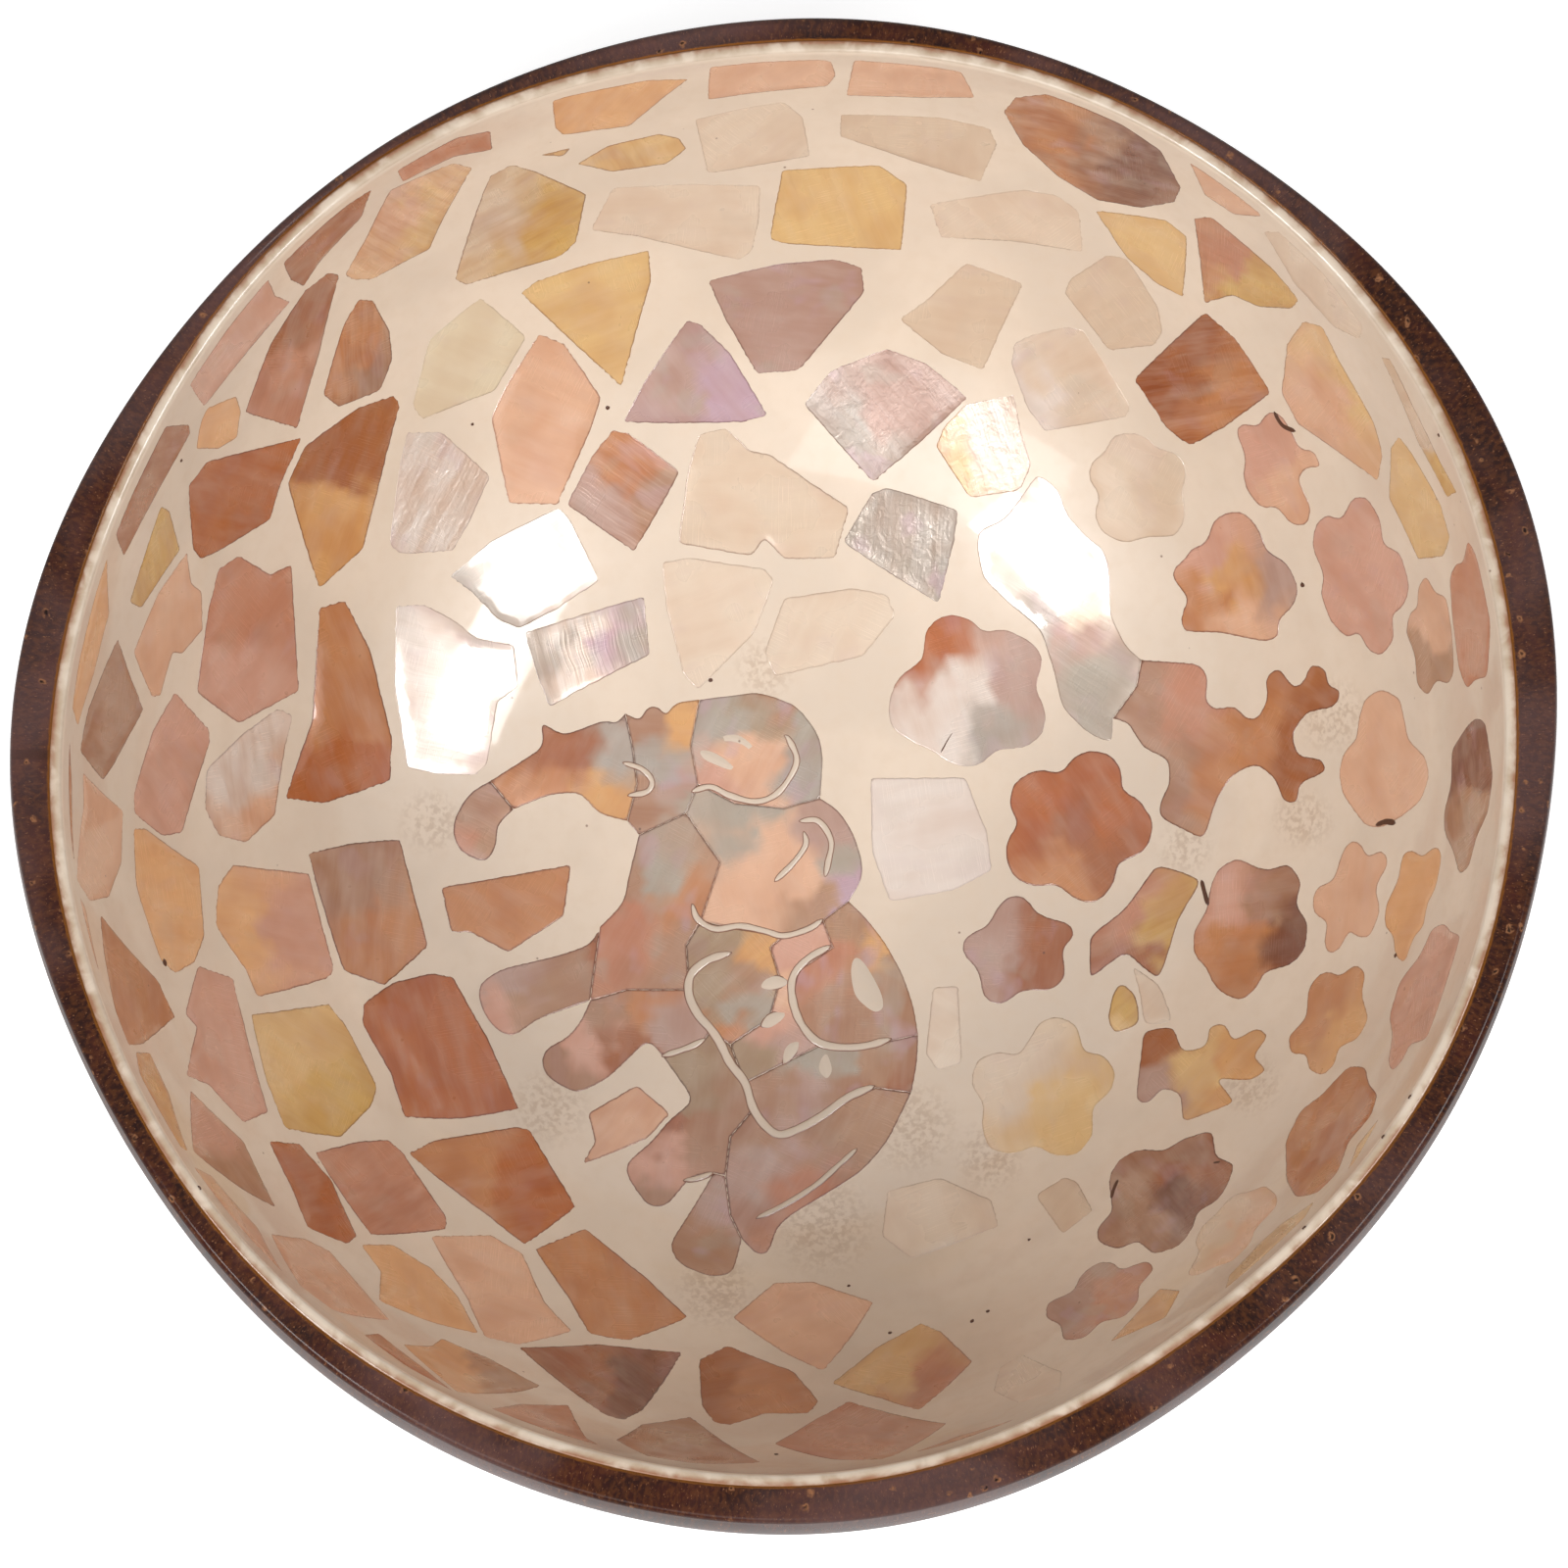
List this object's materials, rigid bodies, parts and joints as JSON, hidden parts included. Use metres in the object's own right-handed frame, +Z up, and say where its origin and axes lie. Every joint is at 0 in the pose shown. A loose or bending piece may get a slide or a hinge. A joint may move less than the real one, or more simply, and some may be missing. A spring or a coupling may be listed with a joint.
{
  "type": "coconut shell bowl",
  "caption": "Small round bowl cut from a coconut shell, lined with cream ground and inlaid with a glossy mother-of-pearl mosaic of an elephant among blossom trees.",
  "frame": {"origin": "centre of the sanded foot, on the table", "axes": "+Z up along the bowl, -Y towards the near side of the picture, +X to the right"},
  "size_m": [0.1368, 0.1349, 0.059],
  "materials": {
    "coconut_shell": "satin",
    "cream_ground": "gloss",
    "ivory_nacre": "gloss",
    "pearl_nacre": "gloss",
    "crinkled_nacre": "gloss",
    "abalone_nacre": "gloss",
    "striped_nacre": "gloss",
    "peach_nacre": "gloss",
    "gold_nacre": "gloss",
    "rose_nacre": "gloss",
    "rust_nacre": "gloss",
    "umber_nacre": "gloss",
    "olive_nacre": "gloss",
    "oval_nacre": "gloss",
    "lilac_nacre": "gloss",
    "banded_nacre": "gloss",
    "veined_nacre": "gloss",
    "smoke_nacre": "gloss",
    "silver_nacre": "gloss"
  },
  "bodies": {
    "root": {"coconut_shell": "coconut_shell", "cream_ground": "cream_ground", "ivory_tiles_north": "ivory_nacre", "ivory_tiles_centre": "ivory_nacre", "ivory_tiles_east": "ivory_nacre", "pearl_tiles": "pearl_nacre", "crinkled_tiles": "crinkled_nacre", "abalone_tiles": "abalone_nacre", "striped_tile": "striped_nacre", "peach_tiles_north": "peach_nacre", "peach_tiles_west": "peach_nacre", "peach_tiles_south": "peach_nacre", "golden_tiles_north": "gold_nacre", "golden_tiles_east": "gold_nacre", "golden_tiles_south": "gold_nacre", "rose_tiles": "rose_nacre", "rust_tiles_west": "rust_nacre", "rust_tiles_south": "rust_nacre", "umber_tiles_north": "umber_nacre", "umber_tiles_south": "umber_nacre", "olive_tiles": "olive_nacre", "oval_tile": "oval_nacre", "lilac_tiles": "lilac_nacre", "banded_tiles": "banded_nacre", "veined_tiles": "veined_nacre", "flower_pearl": "pearl_nacre", "flower_rust": "rust_nacre", "flower_amber": "rust_nacre", "flowers_pale": "ivory_nacre", "flowers_pink": "rose_nacre", "flowers_rim": "peach_nacre", "flower_smoke": "smoke_nacre", "flowers_peach": "peach_nacre", "flower_rose_brown": "rose_nacre", "flowers_lilac": "lilac_nacre", "flower_orange": "peach_nacre", "flower_copper": "rust_nacre", "flower_dark": "smoke_nacre", "tree_pearl": "pearl_nacre", "tree_brown": "rust_nacre", "small_tree_brown": "umber_nacre", "small_tree_gold": "gold_nacre", "small_tree_leaf": "olive_nacre", "small_tree_stem": "ivory_nacre", "elephant_trunk_tip": "umber_nacre", "elephant_trunk": "rust_nacre", "elephant_forehead": "lilac_nacre", "elephant_crown": "silver_nacre", "elephant_ear": "peach_nacre", "elephant_chest": "lilac_nacre", "elephant_foreleg": "rose_nacre", "elephant_knee": "rose_nacre", "elephant_saddle": "olive_nacre", "elephant_flank": "rose_nacre", "elephant_back": "silver_nacre", "elephant_rump": "lilac_nacre", "elephant_thigh": "umber_nacre", "elephant_hind_foot": "lilac_nacre", "elephant_shin": "rust_nacre"}
  },
  "joints": []
}
